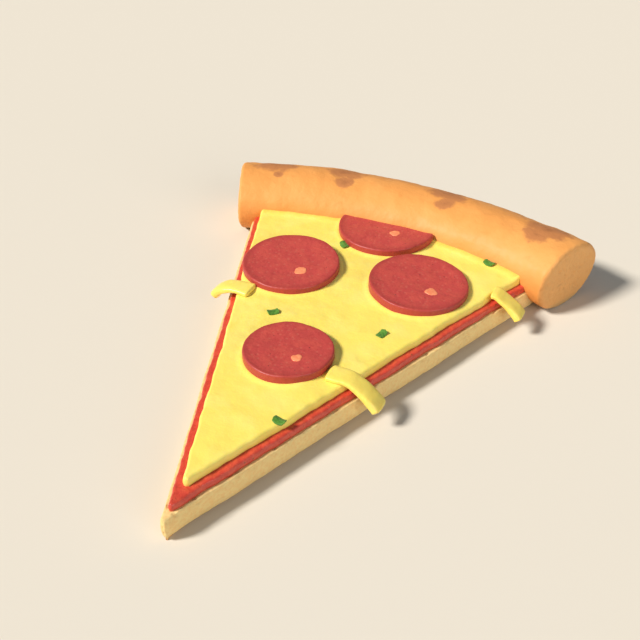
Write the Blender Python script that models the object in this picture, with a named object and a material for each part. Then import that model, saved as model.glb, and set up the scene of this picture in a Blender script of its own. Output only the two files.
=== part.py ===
"""Pepperoni pizza slice, one eighth of a 16 inch pizza, lying flat.

The slice points towards -Y and its crust is at +Y. The origin is the middle of the
bounding box on the surface that the slice lies on. Every size is in metres.
"""

import math

import bmesh
import bpy

# Driving dimensions. Plan positions are measured from the middle of the whole pizza.
PIZZA_RADIUS = 0.203
SLICE_HALF_ANGLE = math.radians(21.1)
TIP_OFFSET = 0.0015
RIM_HALF_ANGLE = math.radians(23.4)

RIM_HALF_WIDTH = 0.0176
RIM_TOP = 0.0261
RIM_CENTRE_Z = 0.0124
RIM_UNDER_DEPTH = 0.0132
RIM_SWELL = 0.035
RIM_END_ROUNDING = 0.0025
# Size of the rim's section at its very end and a little way in, and how far in that is.
RIM_END_SCALE = 0.88
RIM_SHOULDER_SCALE = 0.96
RIM_SHOULDER_SHARE = 0.3
# Waves of the rim's puffed top: share, waves per radian and phase.
RIM_WAVES = ((0.6, 19.0, 0.7), (0.4, 41.0, 2.1))

BASE_TOP = 0.0090
SAUCE_TOP = 0.01185
CHEESE_TOP = 0.0148
SAUCE_INSET = 0.0017
CHEESE_INSET = 0.0045
SAUCE_SOFTEN = 0.0005
CHEESE_SOFTEN = 0.0011
FILLING_TIP_RADIUS = 0.0006
BASE_UNDER_ROUNDING = 0.0024
BASE_TOP_SOFTEN = 0.0007
GAP = 0.0003

PEPPERONI_THICKNESS = 0.0028
PEPPERONI_SOFTEN = 0.0006
# The guide that trims the pepperoni under the rim: how far it passes the slice's sides,
# and how far it runs below and above the cheese's top.
TRIM_MARGIN = 0.02
TRIM_BELOW = 0.002
TRIM_ABOVE = 0.008

STRAND_INNER_THICKNESS = 0.0014
STRAND_END_THICKNESS = 0.0032
STRAND_WIDTH = 0.0076
STRAND_SQUARENESS = 0.6
STRAND_END_SCALE = 0.8
# The strand leaves the cheese's top this far inside the cut side, but never before its
# least level length, and swells over this far past the side. The two middle points of its
# curve follow, the first from the side and from the start's height, the second as a share
# of the overhang and from the end's height.
STRAND_BEND_START = 0.0050
STRAND_LEAST_LEVEL = 0.0020
STRAND_SWELL_PAST = 0.0030
STRAND_UPPER_IN = 0.0010
STRAND_UPPER_DROP = 0.0006
STRAND_LOWER_SHARE = 0.65
STRAND_LOWER_RISE = 0.0036

ARC_STEPS = 36
RIM_SIDES = 24
DISC_SIDES = 36
STRAND_SIDES = 12
STRAND_STEPS = 12
TIP_STEPS = 4

# Each pepperoni: plan position of its middle and its radius.
PEPPERONI = {
    "pepperoni_left": (-0.0245, 0.1248, 0.0189),
    "pepperoni_right": (0.0249, 0.1338, 0.0188),
    "pepperoni_front": (0.0002, 0.0762, 0.0157),
    "pepperoni_rim": (-0.0020, 0.1667, 0.0200),
}

# Each strand: where its inner end and its hanging end lie in plan, and the height of the
# middle of its hanging end.
STRANDS = {
    "cheese_strand_front": ((0.0167, 0.0729), (0.0350, 0.0735), 0.0064),
    "cheese_strand_rim": ((0.0512, 0.1424), (0.0620, 0.1429), 0.0068),
    "cheese_strand_left": ((-0.0296, 0.1036), (-0.0441, 0.1022), 0.0092),
}

RIM_RADIUS = PIZZA_RADIUS - RIM_HALF_WIDTH
RIM_INNER_RADIUS = RIM_RADIUS - RIM_HALF_WIDTH
FILLING_RADIUS = RIM_INNER_RADIUS - GAP
BASE_TIP_RADIUS = 0.0008
TIP_RECESS = BASE_TIP_RADIUS * (1 / math.sin(SLICE_HALF_ANGLE) - 1)
FRAME_Y = (PIZZA_RADIUS - TIP_OFFSET + TIP_RECESS) / 2


def clear_scene():
    for item in list(bpy.data.objects):
        bpy.data.objects.remove(item, do_unlink=True)


def make_material(name, colour, roughness):
    material = bpy.data.materials.new(name)
    material.use_nodes = True
    shader = material.node_tree.nodes["Principled BSDF"]
    shader.inputs["Base Color"].default_value = (*colour, 1.0)
    shader.inputs["Roughness"].default_value = roughness
    shader.inputs["Metallic"].default_value = 0.0
    return material


def make_object(name, rings, material):
    """Joins rings of equal length one to the next and closes both ends."""
    mesh = bpy.data.meshes.new(name)
    shape = bmesh.new()
    loops = []
    for ring in rings:
        loops.append([shape.verts.new((x, y - FRAME_Y, z)) for x, y, z in ring])
    count = len(loops[0])
    for lower, upper in zip(loops, loops[1:]):
        for i in range(count):
            j = (i + 1) % count
            shape.faces.new((lower[i], lower[j], upper[j], upper[i]))
    shape.faces.new(list(reversed(loops[0])))
    shape.faces.new(loops[-1])
    bmesh.ops.recalc_face_normals(shape, faces=shape.faces)
    shape.to_mesh(mesh)
    shape.free()
    mesh.shade_smooth()
    mesh.set_sharp_from_angle(angle=math.radians(35))
    mesh.materials.append(material)
    item = bpy.data.objects.new(name, mesh)
    bpy.context.scene.collection.objects.link(item)
    return item


def wedge_outline(inset, tip_radius, outer_radius):
    """Plan outline of a slice: a rounded tip, two straight sides and an outer arc.

    The sides lie inset inside the sides of the dough, and the outline runs from the left
    of the tip to its right, along the right side, and back along the arc.
    """
    half = SLICE_HALF_ANGLE
    tip_y = -TIP_OFFSET + inset / math.sin(half)
    centre_y = tip_y + tip_radius / math.sin(half)
    points = []
    sweep = math.pi / 2 - half
    for i in range(TIP_STEPS + 1):
        turn = sweep * (2 * i / TIP_STEPS - 1)
        points.append((tip_radius * math.sin(turn), centre_y - tip_radius * math.cos(turn)))
    # The angle, seen from the middle of the pizza, at which the side meets the outer arc.
    meet = half + math.asin(tip_y * math.sin(half) / -outer_radius)
    for i in range(ARC_STEPS + 1):
        turn = meet * (1 - 2 * i / ARC_STEPS)
        points.append((outer_radius * math.sin(turn), outer_radius * math.cos(turn)))
    return points


def make_layer(name, profile, tip_radius, outer_radius, material):
    """A flat layer whose edge follows profile, a list of (inset, height)."""
    rings = []
    for inset, z in profile:
        rings.append([(x, y, z) for x, y in wedge_outline(inset, tip_radius, outer_radius)])
    return make_object(name, rings, material)


def rim_section(turn, swell, scale):
    """One closed section of the crust's rim across its length, flat where it rests."""
    ring = []
    for i in range(RIM_SIDES):
        t = 2 * math.pi * i / RIM_SIDES
        rise = RIM_TOP - RIM_CENTRE_Z
        height = rise * (1 + swell) if math.sin(t) > 0 else RIM_UNDER_DEPTH
        radius = RIM_RADIUS + scale * RIM_HALF_WIDTH * math.cos(t)
        z = max(RIM_CENTRE_Z + scale * height * math.sin(t), 0.0)
        ring.append((radius * math.sin(turn), radius * math.cos(turn), z))
    return ring


def rim_rings():
    """The rim's sections from end to end, with rounded ends and an uneven, puffed top."""
    end_turn = RIM_END_ROUNDING / RIM_RADIUS
    shoulder = RIM_HALF_ANGLE - RIM_SHOULDER_SHARE * end_turn
    turns = [(-RIM_HALF_ANGLE, RIM_END_SCALE), (-shoulder, RIM_SHOULDER_SCALE)]
    inner = RIM_HALF_ANGLE - end_turn
    for i in range(ARC_STEPS + 1):
        turns.append((inner * (2 * i / ARC_STEPS - 1), 1.0))
    turns.append((shoulder, RIM_SHOULDER_SCALE))
    turns.append((RIM_HALF_ANGLE, RIM_END_SCALE))
    rings = []
    for turn, scale in turns:
        wave = sum(share * math.sin(count * turn + phase)
                   for share, count, phase in RIM_WAVES)
        rings.append(rim_section(turn, RIM_SWELL * min(wave, 0.0), scale))
    return rings


def make_dough(material):
    """The flat base and the rim, joined into one piece of dough."""
    edge = BASE_UNDER_ROUNDING
    profile = [
        (edge, 0.0),
        (0.45 * edge, 0.15 * edge),
        (0.1 * edge, 0.5 * edge),
        (0.0, edge),
        (0.0, BASE_TOP - BASE_TOP_SOFTEN),
        (BASE_TOP_SOFTEN, BASE_TOP),
    ]
    dough = make_layer("dough", profile, BASE_TIP_RADIUS, RIM_RADIUS, material)
    rim = make_object("rim_guide", rim_rings(), material)
    rim.hide_render = True
    rim.display_type = "WIRE"
    join = dough.modifiers.new("join_rim", "BOOLEAN")
    join.operation = "UNION"
    join.solver = "EXACT"
    join.object = rim
    return dough


def make_filling(name, inset, bottom, top, soften, material):
    """A sauce or cheese layer, softened along its upper edge."""
    profile = [
        (inset, bottom),
        (inset, top - soften),
        (inset + 0.3 * soften, top - 0.3 * soften),
        (inset + soften, top),
    ]
    return make_layer(name, profile, FILLING_TIP_RADIUS, FILLING_RADIUS, material)


def disc_ring(x, y, radius, z):
    ring = []
    for i in range(DISC_SIDES):
        turn = 2 * math.pi * i / DISC_SIDES
        ring.append((x + radius * math.cos(turn), y + radius * math.sin(turn), z))
    return ring


def make_pepperoni(name, x, y, radius, material):
    """A round slice with softened edges, lying on the cheese."""
    bottom = CHEESE_TOP + GAP
    top = bottom + PEPPERONI_THICKNESS
    soften = PEPPERONI_SOFTEN
    rings = [
        disc_ring(x, y, radius - soften, bottom),
        disc_ring(x, y, radius, bottom + soften),
        disc_ring(x, y, radius, top - soften),
        disc_ring(x, y, radius - soften, top),
    ]
    return make_object(name, rings, material)


def trim_to_rim(item, material):
    """Keeps the part of item that lies inside the rim's inner wall."""
    profile = [
        (-TRIM_MARGIN, CHEESE_TOP - TRIM_BELOW),
        (-TRIM_MARGIN, CHEESE_TOP + TRIM_ABOVE),
    ]
    guide = make_layer(
        "inside_rim_guide", profile, FILLING_TIP_RADIUS, FILLING_RADIUS, material)
    guide.hide_render = True
    guide.display_type = "WIRE"
    trim = item.modifiers.new("trim_to_rim", "BOOLEAN")
    trim.operation = "INTERSECT"
    trim.solver = "EXACT"
    trim.object = guide


def side_distance(x, y):
    """How far x, y lies outside the nearer cut side of the base, measured along X."""
    return abs(x) - (y + TIP_OFFSET) * math.tan(SLICE_HALF_ANGLE)


def strand_path(inner, end, end_z):
    """Middle line of a strand as (outward distance from inner, height, thickness).

    It lies level on the cheese, then bends down over the sides in one cubic curve.
    """
    reach = abs(end[0] - inner[0])
    past = side_distance(*end)
    side = reach - past
    start_z = CHEESE_TOP + GAP + STRAND_INNER_THICKNESS / 2
    bend = max(side - STRAND_BEND_START, STRAND_LEAST_LEVEL)
    controls = [
        (bend, start_z),
        (side - STRAND_UPPER_IN, start_z - STRAND_UPPER_DROP),
        (side + STRAND_LOWER_SHARE * past, end_z + STRAND_LOWER_RISE),
        (reach, end_z),
    ]
    path = [(0.0, start_z), (bend / 2, start_z)]
    for i in range(STRAND_STEPS + 1):
        t = i / STRAND_STEPS
        weights = ((1 - t) ** 3, 3 * t * (1 - t) ** 2, 3 * t * t * (1 - t), t ** 3)
        out = sum(w * c[0] for w, c in zip(weights, controls))
        z = sum(w * c[1] for w, c in zip(weights, controls))
        path.append((out, z))
    steps = []
    spread = STRAND_END_THICKNESS - STRAND_INNER_THICKNESS
    for out, z in path:
        share = (out - bend) / (past + STRAND_SWELL_PAST)
        share = min(max(share, 0.0), 1.0)
        steps.append((out, z, STRAND_INNER_THICKNESS + spread * share))
    return steps


def squared(value):
    """Pushes a sine or cosine outwards, so that a round section turns nearly square."""
    return math.copysign(abs(value) ** STRAND_SQUARENESS, value)


def make_strand(name, inner, end, end_z, material):
    """A flat strand of melted cheese draped over a cut side, with its end hanging down."""
    path = strand_path(inner, end, end_z)
    reach = abs(end[0] - inner[0])
    side = math.copysign(1.0, end[0])
    rings = []
    for i, (out, z, thickness) in enumerate(path):
        before = path[max(i - 1, 0)]
        after = path[min(i + 1, len(path) - 1)]
        slope = math.atan2(after[1] - before[1], after[0] - before[0])
        scale = STRAND_END_SCALE if i in (0, len(path) - 1) else 1.0
        middle = inner[1] + (end[1] - inner[1]) * out / reach
        ring = []
        for k in range(STRAND_SIDES):
            t = 2 * math.pi * k / STRAND_SIDES
            across = squared(math.cos(t)) * STRAND_WIDTH / 2
            lift = squared(math.sin(t)) * thickness / 2
            x = inner[0] + side * (out - scale * lift * math.sin(slope))
            ring.append((x, middle + scale * across, z + scale * lift * math.cos(slope)))
        rings.append(ring)
    return make_object(name, rings, material)


def main():
    clear_scene()
    crust = make_material("crust", (0.78, 0.45, 0.16), 0.75)
    sauce = make_material("tomato_sauce", (0.62, 0.07, 0.04), 0.4)
    cheese = make_material("melted_cheese", (0.90, 0.66, 0.14), 0.4)
    sausage = make_material("pepperoni", (0.50, 0.07, 0.05), 0.45)

    make_dough(crust)
    make_filling("sauce", SAUCE_INSET, BASE_TOP + GAP, SAUCE_TOP, SAUCE_SOFTEN, sauce)
    make_filling("cheese", CHEESE_INSET, SAUCE_TOP + GAP, CHEESE_TOP, CHEESE_SOFTEN, cheese)
    for name, (inner, end, end_z) in STRANDS.items():
        make_strand(name, inner, end, end_z, cheese)
    for name, (x, y, radius) in PEPPERONI.items():
        item = make_pepperoni(name, x, y, radius, sausage)
        if name == "pepperoni_rim":
            trim_to_rim(item, sausage)


main()
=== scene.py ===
import math

import bmesh
import bpy
import numpy as np
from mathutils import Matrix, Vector, noise


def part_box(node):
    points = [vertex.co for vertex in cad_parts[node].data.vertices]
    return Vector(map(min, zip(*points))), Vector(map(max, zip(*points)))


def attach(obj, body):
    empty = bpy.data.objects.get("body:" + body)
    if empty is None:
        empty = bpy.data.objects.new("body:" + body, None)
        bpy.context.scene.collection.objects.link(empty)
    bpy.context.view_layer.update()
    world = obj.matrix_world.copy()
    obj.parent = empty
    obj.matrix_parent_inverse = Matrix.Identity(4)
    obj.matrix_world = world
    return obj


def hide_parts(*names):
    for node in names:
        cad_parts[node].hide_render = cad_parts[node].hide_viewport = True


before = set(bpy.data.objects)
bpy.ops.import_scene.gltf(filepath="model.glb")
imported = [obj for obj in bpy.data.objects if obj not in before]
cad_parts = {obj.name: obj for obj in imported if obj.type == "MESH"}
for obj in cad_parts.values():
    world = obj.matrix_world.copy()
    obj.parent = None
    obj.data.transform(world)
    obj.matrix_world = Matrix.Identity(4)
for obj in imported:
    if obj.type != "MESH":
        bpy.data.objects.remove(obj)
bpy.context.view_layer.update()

# A slice of pepperoni pizza: point towards -Y, crust rim at +Y, lying on z = 0.
# Lengths are in metres. A "turn" is an angle round the middle of the whole pizza, from +Y.

mm = 0.001
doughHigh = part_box("dough")[1]
sauceLow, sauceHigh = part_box("sauce")
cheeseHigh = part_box("cheese")[1]

slicePlan = {
    "halfAngle": math.radians(21.1),     # half of the slice's point
    "rimHalfAngle": math.radians(23.4),  # half of the rim, which overhangs the cut sides
    "pizzaRadius": 203 * mm,
    "tipOffset": 1.5 * mm,               # the cuts cross this far past the pizza's middle
    "rimHalfWidth": 17.6 * mm,
    "rimCentre": 12.4 * mm,              # height of the widest part of the rim
    "rimUnder": 13.2 * mm,               # its reach below that, which the floor cuts flat
}
pizzaY = doughHigh.y - slicePlan["pizzaRadius"]   # the middle of the whole pizza, on x = 0
rimRadius = slicePlan["pizzaRadius"] - slicePlan["rimHalfWidth"]
rimInner = rimRadius - slicePlan["rimHalfWidth"]
doughTop = sauceLow.z
sauceTop = sauceHigh.z
cheeseTop = cheeseHigh.z


def fromPizza(turn, radius):
    return radius * math.sin(turn), pizzaY + radius * math.cos(turn)


def bumpAt(x, y, z, size, shift=0.0):
    return noise.noise(Vector((x / size + shift, y / size - shift, z / size + 0.37 * shift)))


def smoothStep(low, high, value):
    t = np.clip((np.asarray(value) - low) / (high - low), 0.0, 1.0)
    return t * t * (3 - 2 * t)


def meshObject(name, vertices, faces, attributes=None):
    mesh = bpy.data.meshes.new(name)
    mesh.from_pydata([tuple(v) for v in vertices], [], faces)
    for label, values in (attributes or {}).items():
        layer = mesh.attributes.new(label, "FLOAT", "POINT")
        layer.data.foreach_set("value", np.asarray(values, np.float32))
    shape = bmesh.new()
    shape.from_mesh(mesh)
    bmesh.ops.recalc_face_normals(shape, faces=shape.faces)
    shape.to_mesh(mesh)
    shape.free()
    mesh.shade_smooth()
    piece = bpy.data.objects.new(name, mesh)
    bpy.context.scene.collection.objects.link(piece)
    return piece


def newTree(name, inputs):
    tree = bpy.data.node_groups.new(name, "GeometryNodeTree")
    tree.interface.new_socket("Geometry", in_out="INPUT", socket_type="NodeSocketGeometry")
    for label, value in inputs.items():
        kind = "NodeSocketInt" if isinstance(value, int) else "NodeSocketFloat"
        kind = "NodeSocketMaterial" if value is None else kind
        socket = tree.interface.new_socket(label, in_out="INPUT", socket_type=kind)
        if value is not None:
            socket.default_value = value
    tree.interface.new_socket("Geometry", in_out="OUTPUT", socket_type="NodeSocketGeometry")
    entry = tree.nodes.new("NodeGroupInput")
    leave = tree.nodes.new("NodeGroupOutput")
    return tree, entry, leave


def addNode(tree, kind, settings=None, inputs=None):
    node = tree.nodes.new(kind)
    for label, value in (settings or {}).items():
        setattr(node, label, value)
    for label, value in (inputs or {}).items():
        socket = node.inputs[label]
        if isinstance(value, bpy.types.NodeSocket):
            tree.links.new(value, socket)
        else:
            socket.default_value = value
    return node


def mathNode(tree, operation, first, second=0.0):
    node = addNode(tree, "ShaderNodeMath", {"operation": operation}, {0: first, 1: second})
    return node.outputs[0]


def useTree(piece, tree, values):
    modifier = piece.modifiers.new(tree.name, "NODES")
    modifier.node_group = tree
    for item in tree.interface.items_tree:
        if item.in_out == "INPUT" and item.name in values:
            modifier[item.identifier] = values[item.name]
    graph = bpy.context.evaluated_depsgraph_get()
    graph.update()
    mesh = bpy.data.meshes.new_from_object(piece.evaluated_get(graph))
    piece.modifiers.remove(modifier)
    old = piece.data
    piece.data = mesh
    bpy.data.meshes.remove(old)
    mesh.name = piece.name
    mesh.shade_smooth()


def unevenTree():
    # Lifts a surface along its normals by noise, as far as its "loose" attribute allows.
    tree, entry, leave = newTree("uneven", {"Size": 0.01, "Height": 0.001, "Seed": 1})
    position = addNode(tree, "GeometryNodeInputPosition").outputs[0]
    scale = mathNode(tree, "DIVIDE", 1.0, entry.outputs["Size"])
    pattern = addNode(tree, "ShaderNodeTexNoise", {"noise_dimensions": "4D"}, {
        "Vector": position, "W": entry.outputs["Seed"], "Scale": scale,
        "Detail": 2.0, "Roughness": 0.5,
    })
    loose = addNode(tree, "GeometryNodeInputNamedAttribute", {"data_type": "FLOAT"},
                    {"Name": "loose"}).outputs[0]
    centred = mathNode(tree, "SUBTRACT", pattern.outputs["Fac"], 0.5)
    lift = mathNode(tree, "MULTIPLY", centred, entry.outputs["Height"])
    lift = mathNode(tree, "MULTIPLY", lift, loose)
    normal = addNode(tree, "GeometryNodeInputNormal").outputs[0]
    offset = addNode(tree, "ShaderNodeVectorMath", {"operation": "SCALE"},
                     {0: normal, "Scale": lift})
    moved = addNode(tree, "GeometryNodeSetPosition", None,
                    {"Geometry": entry.outputs["Geometry"], "Offset": offset.outputs[0]})
    tree.links.new(moved.outputs[0], leave.inputs[0])
    return tree


def poreTree():
    # Sinks open crumb pores, one in each cell of a cell pattern, where "crumb" is above 0.
    tree, entry, leave = newTree("crumbPores", {"Size": 0.003, "Depth": 0.001,
                                                "Width": 0.35, "Flatten": 1.0})
    position = addNode(tree, "GeometryNodeInputPosition").outputs[0]
    stretch = addNode(tree, "ShaderNodeCombineXYZ", None,
                      {"X": 1.0, "Y": 1.0, "Z": entry.outputs["Flatten"]})
    spread = addNode(tree, "ShaderNodeVectorMath", {"operation": "MULTIPLY"},
                     {0: position, 1: stretch.outputs[0]})
    scale = mathNode(tree, "DIVIDE", 1.0, entry.outputs["Size"])
    cells = addNode(tree, "ShaderNodeTexVoronoi", {"feature": "F1"},
                    {"Vector": spread.outputs[0], "Scale": scale, "Randomness": 1.0})
    dent = addNode(tree, "ShaderNodeMapRange", {"interpolation_type": "SMOOTHSTEP"}, {
        "Value": cells.outputs["Distance"], "From Min": 0.0,
        "From Max": entry.outputs["Width"], "To Min": 1.0, "To Max": 0.0,
    })
    crumb = addNode(tree, "GeometryNodeInputNamedAttribute", {"data_type": "FLOAT"},
                    {"Name": "crumb"}).outputs[0]
    depth = mathNode(tree, "MULTIPLY", dent.outputs[0], entry.outputs["Depth"])
    depth = mathNode(tree, "MULTIPLY", depth, crumb)
    depth = mathNode(tree, "MULTIPLY", depth, -1.0)
    normal = addNode(tree, "GeometryNodeInputNormal").outputs[0]
    offset = addNode(tree, "ShaderNodeVectorMath", {"operation": "SCALE"},
                     {0: normal, "Scale": depth})
    moved = addNode(tree, "GeometryNodeSetPosition", None,
                    {"Geometry": entry.outputs["Geometry"], "Offset": offset.outputs[0]})
    tree.links.new(moved.outputs[0], leave.inputs[0])
    return tree


def newMaterial(name, roughness, settings=None):
    material = bpy.data.materials.new(name)
    material.use_nodes = True
    tree = material.node_tree
    shader = tree.nodes["Principled BSDF"]
    shader.inputs["Roughness"].default_value = roughness
    for label, value in (settings or {}).items():
        shader.inputs[label].default_value = value
    place = tree.nodes.new("ShaderNodeTexCoord").outputs["Object"]
    return material, tree, shader, place


def noiseField(tree, place, size, detail=3.0):
    node = addNode(tree, "ShaderNodeTexNoise", None, {
        "Vector": place, "Scale": 1.0 / size, "Detail": detail, "Roughness": 0.55,
    })
    return node.outputs["Fac"]


def cellField(tree, place, size, feature="F1"):
    node = addNode(tree, "ShaderNodeTexVoronoi", {"feature": feature},
                   {"Vector": place, "Scale": 1.0 / size})
    return node.outputs["Distance"]


def between(tree, value, low, high, first=0.0, second=1.0):
    node = addNode(tree, "ShaderNodeMapRange", {"interpolation_type": "SMOOTHSTEP"}, {
        "Value": value, "From Min": low, "From Max": high, "To Min": first, "To Max": second,
    })
    return node.outputs[0]


def mixColour(tree, factor, first, second):
    node = addNode(tree, "ShaderNodeMix", {"data_type": "RGBA"})
    for socket, value in ((node.inputs[0], factor), (node.inputs[6], first),
                          (node.inputs[7], second)):
        if isinstance(value, bpy.types.NodeSocket):
            tree.links.new(value, socket)
        elif isinstance(value, (int, float)):
            socket.default_value = value
        else:
            socket.default_value = (*value, 1.0)
    return node.outputs[2]


def addBump(tree, shader, layers):
    # layers: (height field, distance, strength), coarse first
    normal = None
    for height, distance, strength in layers:
        node = addNode(tree, "ShaderNodeBump", None,
                       {"Height": height, "Distance": distance, "Strength": strength})
        if normal is not None:
            tree.links.new(normal, node.inputs["Normal"])
        normal = node.outputs[0]
    tree.links.new(normal, shader.inputs["Normal"])


def attributeField(tree, name):
    return addNode(tree, "ShaderNodeAttribute", {"attribute_name": name}).outputs["Fac"]


def setColour(tree, shader, colour):
    tree.links.new(colour, shader.inputs["Base Color"])


def crustMaterial():
    look = {
        "skin": (0.80, 0.325, 0.078),
        "pale": (0.82, 0.350, 0.090),
        "deep": (0.73, 0.270, 0.060),
        "toast": (0.52, 0.195, 0.064),
        "char": (0.37, 0.135, 0.046),
        "crumb": (0.86, 0.62, 0.255),
        "cutEnd": (0.79, 0.42, 0.145),
        "floorBake": (0.62, 0.36, 0.14),
    }
    material, tree, shader, place = newMaterial("bakedDough", 0.62, {
        "Specular IOR Level": 0.28, "Coat Weight": 0.06, "Coat Roughness": 0.35})
    broad = noiseField(tree, place, 16 * mm, 2.0)
    medium = noiseField(tree, place, 5 * mm, 4.0)
    fine = noiseField(tree, place, 1.2 * mm, 5.0)
    skin = mixColour(tree, between(tree, broad, 0.40, 0.66), look["skin"], look["pale"])
    skin = mixColour(tree, between(tree, medium, 0.58, 0.76, 0.0, 0.45), skin, look["deep"])
    toast = attributeField(tree, "toast")
    ragged = mathNode(tree, "ADD", toast, mathNode(
        tree, "MULTIPLY", mathNode(tree, "SUBTRACT", medium, 0.5), 0.9))
    skin = mixColour(tree, between(tree, ragged, 0.20, 0.52, 0.0, 0.94), skin, look["toast"])
    skin = mixColour(tree, between(tree, ragged, 0.62, 1.15, 0.0, 0.75), skin, look["char"])
    # painted shade: the rim's colour goes towards the deep orange low down, fully below 12 mm
    # and not at all above 22 mm
    shaded = attributeField(tree, "shaded")
    skin = mixColour(tree, between(tree, shaded, 0.0, 1.0, 0.0, 0.75), skin, look["deep"])
    underside = attributeField(tree, "underside")
    skin = mixColour(tree, between(tree, underside, 0.1, 0.9), skin, look["floorBake"])
    crumb = attributeField(tree, "crumb")
    ends = attributeField(tree, "cutEnd")
    inside = mixColour(tree, ends, look["crumb"], look["cutEnd"])
    grains = mixColour(tree, between(tree, fine, 0.35, 0.7, 0.0, 0.3), inside, look["skin"])
    colour = mixColour(tree, crumb, skin, grains)
    setColour(tree, shader, colour)
    wrinkle = cellField(tree, place, 3.4 * mm, "SMOOTH_F1")
    addBump(tree, shader, [
        (wrinkle, 0.5 * mm, 0.16),
        (medium, 0.8 * mm, 0.30),
        (fine, 0.30 * mm, 0.55),
    ])
    return material


def sauceMaterial():
    look = {"pulp": (0.61, 0.056, 0.031), "light": (0.67, 0.080, 0.039),
            "dark": (0.42, 0.030, 0.016), "seasoning": (0.10, 0.10, 0.03)}
    material, tree, shader, place = newMaterial("tomatoSauce", 0.34, {
        "Specular IOR Level": 0.42, "Coat Weight": 0.25, "Coat Roughness": 0.18})
    medium = noiseField(tree, place, 2.4 * mm, 4.0)
    fine = noiseField(tree, place, 0.7 * mm, 3.0)
    colour = mixColour(tree, between(tree, medium, 0.38, 0.64), look["pulp"], look["light"])
    colour = mixColour(tree, between(tree, fine, 0.56, 0.74, 0.0, 0.6), colour, look["dark"])
    specks = cellField(tree, place, 3.1 * mm)
    colour = mixColour(tree, between(tree, specks, 0.06, 0.10, 0.7, 0.0), colour,
                       look["seasoning"])
    setColour(tree, shader, colour)
    addBump(tree, shader, [(medium, 0.8 * mm, 0.45), (fine, 0.25 * mm, 0.5)])
    return material


def cheeseMaterial():
    look = {"melt": (0.96, 0.735, 0.135), "cream": (0.97, 0.775, 0.180),
            "amber": (0.86, 0.53, 0.070), "brown": (0.62, 0.28, 0.05)}
    material, tree, shader, place = newMaterial("meltedCheese", 0.40, {
        "Specular IOR Level": 0.36, "Coat Weight": 0.22, "Coat Roughness": 0.22,
        "Subsurface Weight": 0.12, "Subsurface Scale": 1.5 * mm,
        "Subsurface Radius": (1.0, 0.55, 0.15)})
    broad = noiseField(tree, place, 13 * mm, 3.0)
    medium = noiseField(tree, place, 3.0 * mm, 4.0)
    fine = noiseField(tree, place, 0.8 * mm, 3.0)
    colour = mixColour(tree, between(tree, broad, 0.42, 0.66, 0.0, 0.8), look["melt"],
                       look["cream"])
    colour = mixColour(tree, between(tree, medium, 0.60, 0.80, 0.0, 0.35), colour,
                       look["amber"])
    toast = attributeField(tree, "toast")
    ragged = mathNode(tree, "ADD", toast, mathNode(
        tree, "MULTIPLY", mathNode(tree, "SUBTRACT", medium, 0.5), 0.6))
    colour = mixColour(tree, between(tree, ragged, 0.25, 0.80, 0.0, 0.55), colour,
                       look["amber"])
    colour = mixColour(tree, between(tree, ragged, 0.75, 1.10, 0.0, 0.65), colour,
                       look["brown"])
    setColour(tree, shader, colour)
    addBump(tree, shader, [
        (broad, 1.2 * mm, 0.25), (medium, 0.5 * mm, 0.30), (fine, 0.15 * mm, 0.30)])
    return material


def pepperoniMaterial():
    look = {"meat": (0.52, 0.063, 0.052), "rich": (0.44, 0.042, 0.036),
            "warm": (0.56, 0.076, 0.056), "fat": (0.59, 0.14, 0.095),
            "edge": (0.36, 0.040, 0.032), "pepper": (0.07, 0.02, 0.015)}
    material, tree, shader, place = newMaterial("pepperoniMeat", 0.45, {
        "Specular IOR Level": 0.30, "Coat Weight": 0.12, "Coat Roughness": 0.28})
    medium = noiseField(tree, place, 4.2 * mm, 4.0)
    fine = noiseField(tree, place, 1.0 * mm, 4.0)
    grain = cellField(tree, place, 1.9 * mm)
    colour = mixColour(tree, between(tree, medium, 0.40, 0.62), look["meat"], look["warm"])
    colour = mixColour(tree, between(tree, fine, 0.50, 0.72, 0.0, 0.7), colour, look["rich"])
    colour = mixColour(tree, between(tree, grain, 0.17, 0.30, 0.42, 0.0), colour, look["fat"])
    pepper = cellField(tree, place, 3.7 * mm)
    colour = mixColour(tree, between(tree, pepper, 0.055, 0.085, 0.6, 0.0), colour,
                       look["pepper"])
    rimmed = between(tree, attributeField(tree, "rimmed"), 0.80, 1.0, 0.0, 0.6)
    colour = mixColour(tree, rimmed, colour, look["edge"])
    setColour(tree, shader, colour)
    addBump(tree, shader, [(medium, 0.7 * mm, 0.35), (grain, 0.3 * mm, 0.25),
                           (fine, 0.2 * mm, 0.45)])
    return material


def simpleMaterial(name, first, second, size, roughness, settings=None):
    depth = 0.2 * mm
    material, tree, shader, place = newMaterial(name, roughness, settings)
    field = noiseField(tree, place, size, 4.0)
    setColour(tree, shader, mixColour(tree, between(tree, field, 0.35, 0.68), first, second))
    addBump(tree, shader, [(field, depth, 0.5)])
    return material


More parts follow.
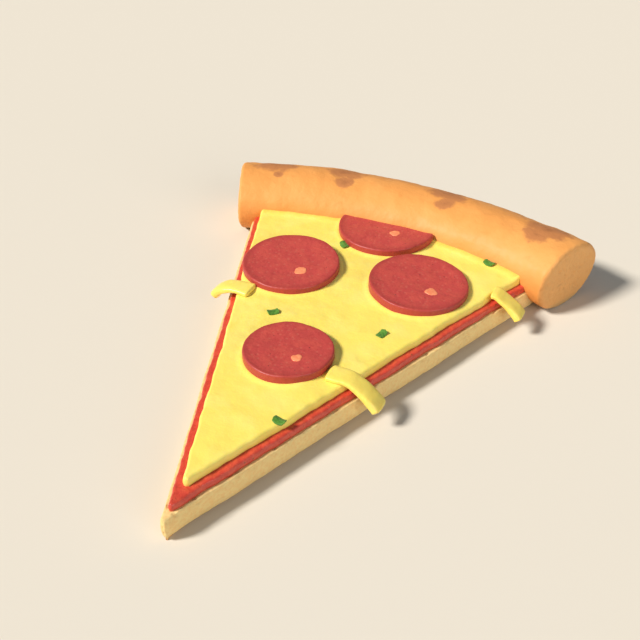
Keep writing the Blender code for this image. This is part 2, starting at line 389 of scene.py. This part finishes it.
def slabMesh(name, plan, profile, lift=None, marks=None):
    # A slice-shaped sheet. profile runs from the top's own edge outwards and down to the
    # underside, as (outward, height). lift(x, y) raises the top and marks(x, y) paints it.
    half = slicePlan["halfAngle"]
    across, along, skirt = plan["across"], plan["along"], len(profile) - 1
    tipY = pizzaY - slicePlan["tipOffset"] + plan["inset"] / math.sin(half)
    shiftY = tipY - pizzaY
    vertices, loose, crumb, toast = [], [], [], []

    for j in range(-skirt, along + skirt + 1):
        row = min(max(j, 0), along)
        overRow = j - row
        v = row / along
        for i in range(-skirt, across + skirt + 1):
            column = min(max(i, 0), across)
            overSide = i - column
            u = 2 * column / across - 1
            if plan["crowdEdges"]:
                u = math.sin(u * math.pi / 2)
            turn = u * half
            aim = Vector((math.sin(turn), math.cos(turn)))
            far = -shiftY * aim.y + math.sqrt(plan["outer"] ** 2 - (shiftY * aim.x) ** 2)
            radius = plan["tipRadius"] + v * (far - plan["tipRadius"])
            point = Vector((0.0, tipY)) + aim * radius
            side = 1.0 if u > 0 else -1.0
            sideOut = Vector((side * math.cos(half), -math.sin(half)))
            rowOut = aim if overRow > 0 else -aim
            step = max(abs(overSide), abs(overRow))
            outward, z = profile[step]
            if step:
                push = sideOut * abs(overSide) + rowOut * abs(overRow)
                # an undercut stops short of the middle line, where the tip is narrow
                deepest = -0.8 * radius * math.sin(half)
                point = point + push.normalized() * max(outward - profile[0][0], deepest)
            fromSide = radius * math.sin(half - abs(turn))
            near = math.exp(-fromSide / plan["wobbleReach"])
            wave = bumpAt(side * 3.0, radius, 0.0, plan["wobbleSize"], plan["shift"])
            wave += 0.5 * bumpAt(side * 3.0, radius, 0.0, 0.4 * plan["wobbleSize"], 5.0)
            point = point + sideOut * (plan["wobble"] * near * wave * abs(turn) / half)
            high = 1.0 - step / skirt
            if lift:
                z += lift(point.x, point.y) * smoothStep(0.0, 0.7, high)
            vertices.append((point.x, point.y, z))
            loose.append(float(smoothStep(0.0, 0.35, high)))
            crumb.append(1.0 if step >= plan.get("crumbFrom", 99) and z > plan["crumbLow"]
                         else 0.0)
            toast.append(marks(point.x, point.y) if marks and not step else 0.0)
    wide, long = across + 2 * skirt + 1, along + 2 * skirt + 1
    faces = []
    for j in range(long - 1):
        for i in range(wide - 1):
            a = j * wide + i
            faces.append((a, a + 1, a + wide + 1, a + wide))
    loop = list(range(wide))
    loop += [j * wide + wide - 1 for j in range(1, long)]
    loop += [(long - 1) * wide + i for i in range(wide - 2, -1, -1)]
    loop += [j * wide for j in range(long - 2, 0, -1)]
    faces.append(tuple(reversed(loop)))
    return meshObject(name, vertices, faces, {"loose": loose, "crumb": crumb, "toast": toast})


def roundedEdge(radius, top, bottom, steps, wallSteps, bulge=0.0):
    # from the top's edge through a quarter round to the bottom, as (outward, height)
    profile = []
    for i in range(steps + 1):
        a = math.pi / 2 * i / steps
        profile.append((radius * math.sin(a), top - radius * (1 - math.cos(a))))
    for i in range(1, wallSteps + 1):
        t = i / wallSteps
        profile.append((radius + bulge * math.sin(math.pi * t),
                        top - radius + (bottom - top + radius) * t))
    return profile


uneven = unevenTree()
pores = poreTree()
crust = crustMaterial()
sauceRed = sauceMaterial()
cheeseGold = cheeseMaterial()
meat = pepperoniMaterial()
print("materials and trees made")

pepperoniPlan = {
    # middle x, y from the pizza's middle, radius, how the top leans (per metre in x and y)
    "pepperoni_left": (-24.5 * mm, 124.8 * mm, 18.9 * mm, (-0.010, 0.020)),
    "pepperoni_right": (24.9 * mm, 133.8 * mm, 18.8 * mm, (-0.045, -0.020)),
    "pepperoni_front": (0.2 * mm, 76.2 * mm, 15.7 * mm, (0.000, -0.030)),
    "pepperoni_rim": (-2.0 * mm, 166.7 * mm, 20.0 * mm, (0.020, 0.015)),
}


def makeBase():
    rounding = 0.6 * mm     # the outline is taken in by this, and the round edge returns it
    plan = {"inset": rounding, "tipRadius": 0.8 * mm, "outer": rimRadius, "across": 36,
            "along": 330, "crowdEdges": True, "wobble": 0.35 * mm, "wobbleReach": 4 * mm,
            "wobbleSize": 14 * mm, "shift": 2.0, "crumbFrom": 0, "crumbLow": 0.1 * mm}
    low, under = 2.6 * mm, 4.2 * mm     # the rounded lower edge: its height and its reach
    profile = roundedEdge(rounding, doughTop, low, 3, 16, 0.25 * mm)
    for i in range(1, 7):
        a = math.pi / 2 * i / 6
        profile.append((rounding - under * (1 - math.cos(a)), low * (1 - math.sin(a))))
    base = slabMesh("doughBase", plan, profile)
    base.data.materials.append(crust)
    return base


def rimSection(t, scale, puff):
    centre = slicePlan["rimCentre"]
    rise, under = doughHigh.z - centre, slicePlan["rimUnder"]
    across = scale * slicePlan["rimHalfWidth"] * math.cos(t)
    height = (rise if math.sin(t) > 0 else under) * math.sin(t) * scale * puff
    return across, max(centre + height, 0.0)


toastPlan = {
    "sectionRadius": 15,     # turns an angle of the section into a distance, in mm
    # turn, section angle (90 is the top, 180 the inner side), half length, half width in mm
    "outer": [(-18.7, 76, 13.2, 7.0), (-9.3, 77, 12.6, 6.6), (4.9, 75, 13.6, 7.2),
              (18.8, 76, 14.0, 7.6)],
    "inner": [(-18.1, 102, 3.0, 2.6), (-8.7, 102, 6.2, 5.4), (5.6, 102, 6.2, 5.4),
              (18.4, 99, 8.4, 6.0)],
}


def toastAt(turn, section):
    best = -1.0
    for spotTurn, spotSection, length, width in toastPlan["outer"] + toastPlan["inner"]:
        a = math.radians(turn - spotTurn) * rimRadius / (length * mm)
        b = math.radians(section - spotSection) * toastPlan["sectionRadius"] * mm
        b /= width * mm
        best = max(best, 1.0 - math.hypot(a, b))
    return best


def makeRim():
    plan = {"steps": 300, "sides": 150, "endRound": 1.5 * mm, "endRings": 22,
            "roundSteps": 6,
            "endFlat": 0.86, "endRise": 0.14,    # the end face's share, and its round edge's
            "least": 0.002, "swell": (0.02, 26 * mm), "endCrumb": 0.75,
            # heights between which each mark fades
            "looseAt": (0.0, 3 * mm), "crumbAt": (0.4 * mm, 3 * mm),
            # the last pair is where the painted shade on the rim's lower part fades out
            "underAt": (0.6 * mm, 4.5 * mm), "paintedShadeAt": (12 * mm, 22 * mm)}
    rounds = plan["roundSteps"]
    half = slicePlan["rimHalfAngle"]
    endTurn = plan["endRound"] / rimRadius
    stations = []
    for i in range(plan["endRings"]):
        share = i / plan["endRings"]
        stations.append((-half, plan["endFlat"] * share + plan["least"], 1.0))
    for i in range(rounds + 1):
        a = math.pi / 2 * i / rounds
        stations.append((-half + endTurn * (1 - math.cos(a)),
                         plan["endFlat"] + plan["endRise"] * math.sin(a), 1.0 - i / rounds))
    inner = half - endTurn
    for i in range(1, plan["steps"]):
        stations.append((inner * (2 * i / plan["steps"] - 1), 1.0, 0.0))
    for turn, scale, cut in reversed(stations[:plan["endRings"] + rounds + 1]):
        stations.append((-turn, scale, cut))
    vertices, loose, crumb, toast, under, ends, faces = [], [], [], [], [], [], []
    shaded = []
    for turn, scale, cut in stations:
        swell = 1 + plan["swell"][0] * bumpAt(turn * rimRadius, 0, 0, plan["swell"][1], 1.0)
        for k in range(plan["sides"]):
            t = 2 * math.pi * k / plan["sides"]
            across, z = rimSection(t, scale, swell if math.sin(t) > 0 else 1.0)
            x, y = fromPizza(turn, rimRadius + across)
            section = math.degrees(t)
            toasted = toastAt(math.degrees(turn), section) if cut < 0.5 else -1.0
            vertices.append((x, y, z))
            loose.append(float(smoothStep(*plan["looseAt"], z)))
            crumb.append(plan["endCrumb"] * cut * float(smoothStep(*plan["crumbAt"], z)))
            ends.append(1.0 if cut else 0.0)
            toast.append(toasted)
            under.append(1.0 - float(smoothStep(*plan["underAt"], z)))
            # painted shade on the rim's lower part, 1 low down and 0 high up
            shaded.append(1.0 - float(smoothStep(*plan["paintedShadeAt"], z)))
    sides = plan["sides"]
    for j in range(len(stations) - 1):
        for k in range(sides):
            a, b = j * sides + k, j * sides + (k + 1) % sides
            faces.append((a, b, b + sides, a + sides))
    last = (len(stations) - 1) * sides
    faces.append(tuple(reversed(range(sides))))
    faces.append(tuple(range(last, last + sides)))
    rim = meshObject("doughRim", vertices, faces, {
        "loose": loose, "crumb": crumb, "toast": toast, "underside": under, "cutEnd": ends,
        "shaded": shaded})
    rim.data.materials.append(crust)
    return rim


def makeDough():
    base = makeBase()
    useTree(base, pores, {"Size": 3.2 * mm, "Depth": 0.55 * mm, "Width": 0.34, "Flatten": 1.8})
    useTree(base, pores, {"Size": 1.5 * mm, "Depth": 0.25 * mm, "Width": 0.40, "Flatten": 1.4})
    rim = makeRim()
    useTree(rim, uneven, {"Size": 24 * mm, "Height": 2.2 * mm, "Seed": 3})
    useTree(rim, uneven, {"Size": 8 * mm, "Height": 0.8 * mm, "Seed": 5})
    useTree(rim, uneven, {"Size": 2.6 * mm, "Height": 0.22 * mm, "Seed": 8})
    useTree(rim, pores, {"Size": 4.5 * mm, "Depth": 0.9 * mm, "Width": 0.38, "Flatten": 1.2})
    useTree(rim, pores, {"Size": 2.0 * mm, "Depth": 0.4 * mm, "Width": 0.42, "Flatten": 1.2})
    for piece in (base, rim):
        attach(piece, "root")
        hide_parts("dough")


makeDough()
print("dough made")


def makeSauce():
    plan = {"inset": 2.2 * mm, "tipRadius": 0.4 * mm, "outer": rimInner + 1.2 * mm,
            "across": 70, "along": 240, "crowdEdges": True, "wobble": 0.35 * mm,
            "wobbleReach": 3 * mm, "wobbleSize": 8 * mm, "shift": 9.0, "crumbLow": 0.0}
    profile = roundedEdge(0.7 * mm, sauceTop, doughTop - 0.3 * mm, 6, 5, 0.25 * mm)
    sauce = slabMesh("sauceLayer", plan, profile)
    sauce.data.materials.append(sauceRed)
    useTree(sauce, uneven, {"Size": 3.5 * mm, "Height": 0.7 * mm, "Seed": 11})
    useTree(sauce, uneven, {"Size": 1.4 * mm, "Height": 0.25 * mm, "Seed": 12})
    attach(sauce, "root")
    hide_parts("sauce")


makeSauce()
print("sauce made")


cheesePlan = {
    "waves": ((0.45 * mm, 17 * mm, 3.0), (0.16 * mm, 6 * mm, 8.0)),   # height, size, shift
    "lip": 0.55 * mm, "lipWidth": 1.5 * mm,     # the ridge around each pepperoni
    "hollow": 0.35 * mm, "hollowFrom": 0.5 * mm, "hollowTo": -2.5 * mm,   # and under it
    "rimRise": 0.7 * mm, "rimReach": 2.2 * mm,  # where the cheese meets the rim
    "rimToast": 0.75, "rimToastReach": 2.6 * mm,
    "spotToast": 0.9, "spotSize": 9 * mm, "spotShift": 21.0, "spotFrom": 0.32,
}


def cheeseLift(x, y):
    look = cheesePlan
    lift = sum(high * bumpAt(x, y, 0, size, shift) for high, size, shift in look["waves"])
    for px, py, radius, _ in pepperoniPlan.values():
        away = math.hypot(x - px, y - pizzaY - py) - radius
        lift += look["lip"] * math.exp(-(away / look["lipWidth"]) ** 2)
        inside = float(smoothStep(look["hollowFrom"], look["hollowTo"], away))
        lift -= look["hollow"] * inside
    fromRim = rimInner - math.hypot(x, y - pizzaY)
    lift += look["rimRise"] * math.exp(-(max(fromRim, 0.0) / look["rimReach"]) ** 2)
    return lift


def cheeseToast(x, y):
    look = cheesePlan
    fromRim = rimInner - math.hypot(x, y - pizzaY)
    mark = look["rimToast"] * math.exp(-(max(fromRim, 0.0) / look["rimToastReach"]) ** 2)
    spot = bumpAt(x, y, 0, look["spotSize"], look["spotShift"])
    mark += look["spotToast"] * max(0.0, spot - look["spotFrom"])
    return mark


def makeCheese():
    plan = {"inset": 5.3 * mm, "tipRadius": 0.4 * mm, "outer": rimInner + 1.2 * mm,
            "across": 170, "along": 240, "crowdEdges": False, "wobble": 0.6 * mm,
            "wobbleReach": 4 * mm, "wobbleSize": 10 * mm, "shift": 4.0, "crumbLow": 0.0}
    profile = roundedEdge(1.1 * mm, cheeseTop, sauceTop - 0.5 * mm, 8, 4, 0.2 * mm)
    cheese = slabMesh("cheeseLayer", plan, profile, cheeseLift, cheeseToast)
    cheese.data.materials.append(cheeseGold)
    useTree(cheese, uneven, {"Size": 4.5 * mm, "Height": 0.35 * mm, "Seed": 21})
    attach(cheese, "root")
    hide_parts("cheese")


makeCheese()
print("cheese made")


strandPlan = {
    "width": 7.8 * mm, "thin": 2.2 * mm, "thick": 3.4 * mm, "steps": 70, "sides": 40,
    "above": 0.9 * mm,         # middle line over the cheese's top
    "endAbove": 1.4 * mm,      # middle line's end over the bottom of the node's box
    "bendInside": 5.0 * mm,    # where it starts to bend, inside the cut side
    "leastLevel": 2.0 * mm,    # it never bends nearer to its inner end than this
    "upper": (1.0 * mm, 0.6 * mm),     # inside the side, under the start
    "lower": (0.65, 3.8 * mm),         # share of the overhang, over the end
    "innerRound": 0.05, "innerLeast": 0.02,     # share that closes, and what is left open
    "endFrom": 0.94, "endRound": 0.06, "endLeast": 0.15,
    "thickens": (0.3, 0.9), "squareWide": 0.55, "squareHigh": 0.60,
    "waist": 0.03, "wander": 0.06, "drift": 0.5 * mm, "toast": 0.44,
    "curveSteps": 12, "smoothing": 2,
}


def makeStrand(node, shift):
    # A tongue of cheese: the middle line follows the CAD node's box from the cheese's top
    # over the cut side, and its end hangs a little thicker.
    low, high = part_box(node)
    right = high.x + low.x > 0
    inner, end = (low.x, high.x) if right else (high.x, low.x)
    middle = (low.y + high.y) / 2
    reach = abs(end - inner)
    look = strandPlan
    sideX = (middle - pizzaY + slicePlan["tipOffset"]) * math.tan(slicePlan["halfAngle"])
    side = sideX - abs(inner)
    past = reach - side
    endZ = low.z + look["endAbove"]
    topZ = cheeseTop + look["above"]
    bend = max(side - look["bendInside"], look["leastLevel"])
    upper, lower = look["upper"], look["lower"]
    controls = [Vector((bend, topZ)), Vector((side - upper[0], topZ - upper[1])),
                Vector((side + lower[0] * past, endZ + lower[1])), Vector((reach, endZ))]
    path = [Vector((0.0, topZ)), Vector((bend / 2, topZ))]
    for i in range(look["curveSteps"] + 1):
        t = i / look["curveSteps"]
        weights = ((1 - t) ** 3, 3 * t * (1 - t) ** 2, 3 * t * t * (1 - t), t ** 3)
        path.append(sum((w * c for w, c in zip(weights, controls)), Vector((0.0, 0.0))))
    lengths = np.cumsum([0.0] + [(b - a).length for a, b in zip(path, path[1:])])
    even = np.linspace(0.0, lengths[-1], look["steps"] + 1)
    xs = np.interp(even, lengths, [p.x for p in path])
    zs = np.interp(even, lengths, [p.y for p in path])
    for _ in range(look["smoothing"]):
        xs[1:-1] = (xs[:-2] + 2 * xs[1:-1] + xs[2:]) / 4
        zs[1:-1] = (zs[:-2] + 2 * zs[1:-1] + zs[2:]) / 4
    vertices, faces = [], []
    sides, steps = look["sides"], look["steps"]
    for i in range(steps + 1):
        share = i / steps
        a, b = max(i - 1, 0), min(i + 1, steps)
        slope = math.atan2(zs[b] - zs[a], xs[b] - xs[a])
        atInner = max(1 - share / look["innerRound"], 0.0)
        atEnd = max((share - look["endFrom"]) / look["endRound"], 0.0)
        closing = math.sqrt(max(1 - atInner ** 2, look["innerLeast"]))
        closing *= math.sqrt(max(1 - atEnd ** 2, look["endLeast"]))
        waist = look["waist"] * math.sin(math.pi * share)
        wander = look["wander"] * bumpAt(share, shift, 0, 0.3, shift)
        width = look["width"] * (1 - waist + wander) * closing
        thick = (look["thin"] + (look["thick"] - look["thin"]) *
                 float(smoothStep(*look["thickens"], share))) * closing
        drift = look["drift"] * bumpAt(share, shift, 0, 0.6, 2 * shift)
        for k in range(sides):
            t = 2 * math.pi * k / sides
            c, s = math.cos(t), math.sin(t)
            wide = math.copysign(abs(c) ** look["squareWide"], c) * width / 2
            lift = math.copysign(abs(s) ** look["squareHigh"], s) * thick / 2
            out = xs[i] - lift * math.sin(slope)
            x = inner + (out if right else -out)
            vertices.append((x, middle + drift + wide, zs[i] + lift * math.cos(slope)))
    for j in range(steps):
        for k in range(sides):
            a, b = j * sides + k, j * sides + (k + 1) % sides
            faces.append((a, b, b + sides, a + sides))
    faces.append(tuple(reversed(range(sides))))
    faces.append(tuple(range(steps * sides, (steps + 1) * sides)))
    name = "strand" + node.rsplit("_", 1)[1].capitalize()
    strand = meshObject(name, vertices, faces, {
        "loose": [1.0] * len(vertices), "toast": [look["toast"]] * len(vertices)})
    strand.data.materials.append(cheeseGold)
    useTree(strand, uneven, {"Size": 3.5 * mm, "Height": 0.5 * mm, "Seed": 31 + int(shift)})
    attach(strand, "root")
    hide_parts(node)


for number, strandNode in enumerate(("cheese_strand_front", "cheese_strand_rim",
                                     "cheese_strand_left")):
    makeStrand(strandNode, 1.7 * number)
print("cheese strands made")


meatPlan = {
    "thickness": 2.8 * mm, "above": 0.3 * mm, "sink": 0.7 * mm,
    "cup": 0.55 * mm, "cupLevel": 0.45,     # how much the edge curls up, about which level
    "waves": (0.35 * mm, 9 * mm, 6.0), "outline": (0.012, 0.7, 4.0),   # height, size, shift
    "underRim": 1.0 * mm,                   # how far a slice may pass the rim's inner wall
    "round": 0.75 * mm, "roundSteps": 6, "wallSteps": 6, "bottomRings": (0.8, 0.5, 0.2),
    "rings": 46, "around": 160,
}


def topOfMeat(node, x, y):
    # height of a pepperoni's top at x, y from the pizza's middle
    px, py, radius, lean = pepperoniPlan[node]
    fromMiddle = math.hypot(x - px, y - py) / radius
    z = cheeseTop + meatPlan["above"] + meatPlan["thickness"]
    z += meatPlan["cup"] * (fromMiddle ** 4 - meatPlan["cupLevel"])
    z += lean[0] * (x - px) + lean[1] * (y - py)
    high, size, shift = meatPlan["waves"]
    return z + high * bumpAt(x, y, 1.0, size, shift)


def makePepperoni(node, number):
    px, py, radius, _ = pepperoniPlan[node]
    look = meatPlan
    limit = rimInner + look["underRim"]
    poleY = min(py, limit - 0.5 * radius)
    bottom = cheeseTop - look["sink"]
    rounds, walls = look["roundSteps"], look["wallSteps"]
    outline, outlineSize, outlineShift = look["outline"]
    levels = [(i / look["rings"], None, "top") for i in range(1, look["rings"] + 1)]
    for i in range(1, rounds + 1):
        a = math.pi / 2 * i / rounds
        levels.append((1.0, a, "round"))
    for i in range(1, walls + 1):
        levels.append((1.0, i / walls, "wall"))
    for share in look["bottomRings"]:
        levels.append((share, None, "bottom"))
    vertices, rimmed, loose = [], [], []
    for share, value, part in levels:
        for k in range(look["around"]):
            t = 2 * math.pi * k / look["around"]
            aim = Vector((math.cos(t), math.sin(t)))
            ragged = bumpAt(aim.x, aim.y, number, outlineSize, outlineShift)
            wave = radius * (1 + outline * ragged)
            offset = poleY - py
            reach = -offset * aim.y + math.sqrt(wave ** 2 - (offset * aim.x) ** 2)
            b = px * aim.x + poleY * aim.y
            c = px ** 2 + poleY ** 2 - limit ** 2
            reach = min(reach, -b + math.sqrt(max(b * b - c, 0.0)))
            soft = look["round"]
            out = (reach - soft) * share
            if part == "round":
                out = reach - soft + soft * math.sin(value)
            if part == "wall":
                out = reach
            x, y = px + aim.x * out, poleY + aim.y * out
            fromMiddle = math.hypot(x - px, y - py) / radius
            z = topOfMeat(node, x, y)
            if part == "round":
                z -= soft * (1 - math.cos(value))
            if part == "wall":
                z = (z - soft) + (bottom - z + soft) * value
            if part == "bottom":
                z = bottom
            vertices.append((x, pizzaY + y, z))
            rimmed.append(fromMiddle if part == "top" else 1.0)
            loose.append(0.0 if part == "bottom" else 1.0)
    around = look["around"]
    faces = []
    for j in range(len(levels) - 1):
        for k in range(around):
            a, b = j * around + k, j * around + (k + 1) % around
            faces.append((a, b, b + around, a + around))
    vertices.append((px, pizzaY + poleY, topOfMeat(node, px, poleY)))
    vertices.append((px, pizzaY + poleY, bottom))
    rimmed += [0.0, 1.0]
    loose += [1.0, 0.0]
    last = (len(levels) - 1) * around
    for k in range(around):
        faces.append((k, (k + 1) % around, len(vertices) - 2))
        faces.append((last + k, last + (k + 1) % around, len(vertices) - 1))
    name = "pepperoni" + node.rsplit("_", 1)[1].capitalize()
    disc = meshObject(name, vertices, faces, {"rimmed": rimmed, "loose": loose})
    disc.data.materials.append(meat)
    useTree(disc, uneven, {"Size": 3.2 * mm, "Height": 0.35 * mm, "Seed": 41 + number})
    useTree(disc, uneven, {"Size": 1.1 * mm, "Height": 0.12 * mm, "Seed": 51 + number})
    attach(disc, "root")
    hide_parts(node)


for number, node in enumerate(pepperoniPlan):
    makePepperoni(node, number)
print("pepperoni made")


def scatterPoints(name, places):
    # a mesh of loose points, each with its turn, size and tilt, for the placing tree
    mesh = bpy.data.meshes.new(name)
    mesh.from_pydata([place[0] for place in places], [], [])
    for label, column in (("turn", 1), ("size", 2), ("tiltX", 3), ("tiltY", 4)):
        layer = mesh.attributes.new(label, "FLOAT", "POINT")
        layer.data.foreach_set("value", [place[column] for place in places])
    points = bpy.data.objects.new(name, mesh)
    bpy.context.scene.collection.objects.link(points)
    return points


def placeTree(grain):
    # Puts a copy of grain on every point, turned and sized as the point says.
    tree, entry, leave = newTree("placeOnPoints", {"Size": 1.0, "Material": None})

    def read(label):
        return addNode(tree, "GeometryNodeInputNamedAttribute", {"data_type": "FLOAT"},
                       {"Name": label}).outputs[0]

    turned = addNode(tree, "ShaderNodeCombineXYZ", None,
                     {"X": read("tiltX"), "Y": read("tiltY"), "Z": read("turn")})
    size = mathNode(tree, "MULTIPLY", read("size"), entry.outputs["Size"])
    source = addNode(tree, "GeometryNodeObjectInfo", None, {"Object": grain})
    copies = addNode(tree, "GeometryNodeInstanceOnPoints", None, {
        "Points": entry.outputs["Geometry"], "Instance": source.outputs["Geometry"],
        "Rotation": turned.outputs[0], "Scale": size})
    real = addNode(tree, "GeometryNodeRealizeInstances", None,
                   {"Geometry": copies.outputs[0]})
    painted = addNode(tree, "GeometryNodeSetMaterial", None,
                      {"Geometry": real.outputs[0], "Material": entry.outputs["Material"]})
    tree.links.new(painted.outputs[0], leave.inputs[0])
    return tree


def makeLeaf():
    # One torn piece of herb, 4.3 x 3 mm, gently curled, with a raised midrib.
    look = {"long": 4.3 * mm, "wide": 3.0 * mm, "thick": 0.45 * mm, "steps": 22, "rows": 16,
            "narrowLong": 0.10, "narrowWide": 0.16, "torn": 0.09,
            "curlLong": 0.50 * mm, "curlWide": 0.30 * mm,
            "rib": 0.16 * mm, "ribWidth": 0.10, "vein": 0.05 * mm}
    vertices, faces = [], []
    steps, rows = look["steps"], look["rows"]
    for side in (1, -1):
        for j in range(rows + 1):
            for i in range(steps + 1):
                u, v = 2 * i / steps - 1, 2 * j / rows - 1
                x = look["long"] / 2 * u * (1 - look["narrowLong"] * v * v)
                y = look["wide"] / 2 * v * (1 - look["narrowWide"] * u * u)
                torn = look["torn"] * bumpAt(u, v, 0, 0.5, 13.0)
                x, y = x * (1 + torn), y * (1 - torn)
                curl = look["curlLong"] * u * u - look["curlWide"] * v * v
                rib = look["rib"] * math.exp(-(v / look["ribWidth"]) ** 2)
                vein = look["vein"] * math.sin(9 * (u + 0.6 * abs(v)))
                z = curl + (rib + vein if side > 0 else -look["thick"])
                vertices.append((x, y, z))
    count = (steps + 1) * (rows + 1)
    for j in range(rows):
        for i in range(steps):
            a = j * (steps + 1) + i
            quad = (a, a + 1, a + steps + 2, a + steps + 1)
            faces.append(quad)
            faces.append(tuple(count + k for k in reversed(quad)))
    edge = list(range(steps + 1))
    edge += [j * (steps + 1) + steps for j in range(1, rows + 1)]
    edge += [rows * (steps + 1) + i for i in range(steps - 1, -1, -1)]
    edge += [j * (steps + 1) for j in range(rows - 1, 0, -1)]
    for a, b in zip(edge, edge[1:] + edge[:1]):
        faces.append((a, count + a, count + b, b))
    return meshObject("leafPattern", vertices, faces)


def makeHerbs():
    green = simpleMaterial("herbLeaf", (0.060, 0.190, 0.018), (0.120, 0.290, 0.034), 1.1 * mm,
                           0.55, {"Specular IOR Level": 0.3, "Sheen Weight": 0.1})
    # middle from the pizza's middle in mm, turn in degrees and size
    spots = [(-16.4, 95.3, 45, 1.0), (24.1, 100.8, 77, 0.97), (13.2, 46.0, -5, 1.0),
             (43.9, 161.0, -21, 1.05), (-12.9, 148.4, -41, 1.0)]
    places, above, tiltX, tiltY = [], 0.55 * mm, 0.05, 0.06
    for number, (x, y, turn, size) in enumerate(spots):
        x, y = x * mm, pizzaY + y * mm
        z = cheeseTop + cheeseLift(x, y) + above
        places.append(((x, y, z), math.radians(turn), size, tiltX * math.sin(5 * number + 1),
                       tiltY * math.cos(3 * number)))
    herbs = scatterPoints("herbFlakes", places)
    leaf = makeLeaf()
    useTree(herbs, placeTree(leaf), {"Size": 1.0, "Material": green})
    bpy.data.objects.remove(leaf, do_unlink=True)
    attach(herbs, "root")


def makeFatPatches():
    # One pale orange piece of fat in each slice of pepperoni, barely proud of the meat.
    fat = simpleMaterial("orangeFat", (0.93, 0.25, 0.105), (0.98, 0.34, 0.15), 1.2 * mm, 0.32,
                         {"Specular IOR Level": 0.45, "Coat Weight": 0.4,
                          "Coat Roughness": 0.15})
    # node, middle from the pizza's middle and size, in mm
    spots = [("pepperoni_left", -18.4, 120.8, 2.45), ("pepperoni_right", 31.3, 129.9, 2.4),
             ("pepperoni_front", 5.1, 73.0, 1.9), ("pepperoni_rim", 3.4, 162.1, 2.1)]
    vertices, faces = [], []
    around, rings, proud, edgeDown, deep = 48, 12, 0.22 * mm, 0.12 * mm, 0.5 * mm
    for number, (node, cx, cy, size) in enumerate(spots):
        start = len(vertices)
        middleZ = topOfMeat(node, cx * mm, cy * mm)
        vertices.append((cx * mm, pizzaY + cy * mm, middleZ + proud))
        for j in range(1, rings + 1):
            share = j / rings
            for k in range(around):
                t = 2 * math.pi * k / around
                wave = 1 + 0.22 * bumpAt(math.cos(t), math.sin(t), number, 0.8, 3.0 * number)
                wave += 0.07 * math.cos(3 * t + number)
                x = (cx + size * wave * share * math.cos(t)) * mm
                y = (cy + size * wave * share * math.sin(t)) * mm
                z = topOfMeat(node, x, y) + proud * math.sqrt(max(1 - share ** 4, 0.0))
                vertices.append((x, pizzaY + y, z - edgeDown * (j == rings)))
        vertices.append((cx * mm, pizzaY + cy * mm, middleZ - deep))
        for k in range(around):
            n = (k + 1) % around
            faces.append((start, start + 1 + k, start + 1 + n))
            for j in range(rings - 1):
                a = start + 1 + j * around
                faces.append((a + k, a + around + k, a + around + n, a + n))
            outer = start + 1 + (rings - 1) * around
            faces.append((outer + k, len(vertices) - 1, outer + n))
    patches = meshObject("pepperoniFat", vertices, faces)
    patches.data.materials.append(fat)
    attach(patches, "root")


makeHerbs()
makeFatPatches()
print("herbs and fat made")


stagePlan = {
    "floorColour": (0.742, 0.664, 0.556), "sky": 0.19, "skyColour": (0.75, 0.88, 1.0),
    # each light: from, strength, softness in degrees, colour
    "key": ((-0.80, -0.78, 1.0), 4.37, 12.0, (1.0, 0.985, 0.95)),
    "fill": ((1.0, -0.50, 0.36), 1.08, 40.0, (0.94, 0.98, 1.0)),
    "azimuth": 26.6, "elevation": 36.67,
    "distance": 341.9 * mm, "aim": (-7.13 * mm, 13.44 * mm, 1.63 * mm),
}


def makeStage():
    mesh = bpy.data.meshes.new("floor")
    size = 6.0     # half the floor's side, in metres
    mesh.from_pydata([(-size, -size, 0), (size, -size, 0), (size, size, 0), (-size, size, 0)],
                     [], [(0, 1, 2, 3)])
    floor = bpy.data.objects.new("floor", mesh)
    bpy.context.scene.collection.objects.link(floor)
    material, _, shader, _ = newMaterial("paleFloor", 0.9, {"Specular IOR Level": 0.0})
    shader.inputs["Base Color"].default_value = (*stagePlan["floorColour"], 1.0)
    mesh.materials.append(material)
    world = bpy.data.worlds.new("softSky")
    world.use_nodes = True
    background = world.node_tree.nodes["Background"]
    background.inputs["Color"].default_value = (*stagePlan["skyColour"], 1.0)
    background.inputs["Strength"].default_value = stagePlan["sky"]
    bpy.context.scene.world = world
    for name in ("key", "fill"):
        source, strength, softness, colour = stagePlan[name]
        lamp = bpy.data.lights.new(name + "Light", "SUN")
        lamp.energy = strength
        lamp.angle = math.radians(softness)
        lamp.color = colour
        light = bpy.data.objects.new(name + "Light", lamp)
        light.rotation_mode = "QUATERNION"
        light.rotation_quaternion = Vector(source).to_track_quat("Z", "Y")
        bpy.context.scene.collection.objects.link(light)


def makeCamera():
    camera = bpy.data.objects.new("camera", bpy.data.cameras.new("camera"))
    camera.data.lens = 50
    camera.data.sensor_width = 36
    camera.data.clip_start = 0.01
    camera.data.clip_end = 20
    a, e = math.radians(stagePlan["azimuth"]), math.radians(stagePlan["elevation"])
    back = Vector((math.sin(a) * math.cos(e), -math.cos(a) * math.cos(e), math.sin(e)))
    camera.location = Vector(stagePlan["aim"]) + back * stagePlan["distance"]
    camera.rotation_mode = "QUATERNION"
    camera.rotation_quaternion = (-back).to_track_quat("-Z", "Y")
    bpy.context.scene.collection.objects.link(camera)
    bpy.context.scene.camera = camera
    bpy.context.scene.view_settings.view_transform = "Standard"


makeStage()
makeCamera()
print("stage made")
